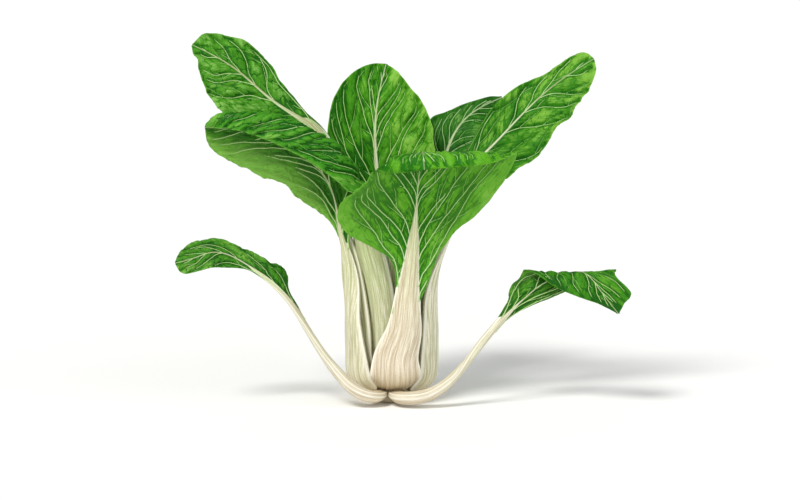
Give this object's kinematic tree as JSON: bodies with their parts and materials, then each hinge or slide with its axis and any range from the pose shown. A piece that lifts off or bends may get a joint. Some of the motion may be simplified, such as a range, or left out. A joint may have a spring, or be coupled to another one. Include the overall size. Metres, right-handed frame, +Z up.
{
  "type": "bok choy",
  "caption": "White-stalked bok choy head standing on its cut stem: upright spoon-shaped leaves in whorls, one folded, one bent over, and two splayed out low at the front.",
  "frame": {"origin": "centre of the cut face that the head stands on", "axes": "+Z up along the stem, -Y the front, where the bent-over leaf and the two splayed leaves are, +X to the right seen from the front"},
  "size_m": [0.3556, 0.1888, 0.2926],
  "materials": {
    "outer_leaf": "fresh waxy leaf: green blade with pale veins on a ribbed off-white stalk",
    "inner_leaf": "young waxy leaf: light green blade on a pale stalk",
    "stem": "crisp off-white stem with a smooth cut face"
  },
  "bodies": {
    "root": {"cut_stem": "stem", "front_leaf": "outer_leaf", "left_folded_leaf": "outer_leaf", "left_high_leaf": "outer_leaf", "back_centre_leaf": "outer_leaf", "back_right_leaf": "outer_leaf", "right_long_leaf": "outer_leaf", "left_splayed_leaf": "outer_leaf", "right_splayed_leaf": "outer_leaf", "rear_leaf": "outer_leaf", "inner_front_leaf": "inner_leaf", "inner_left_leaf": "inner_leaf", "inner_right_leaf": "inner_leaf", "inner_rear_leaf": "inner_leaf", "heart_front_leaf": "inner_leaf", "heart_rear_leaf": "inner_leaf"}
  },
  "joints": []
}
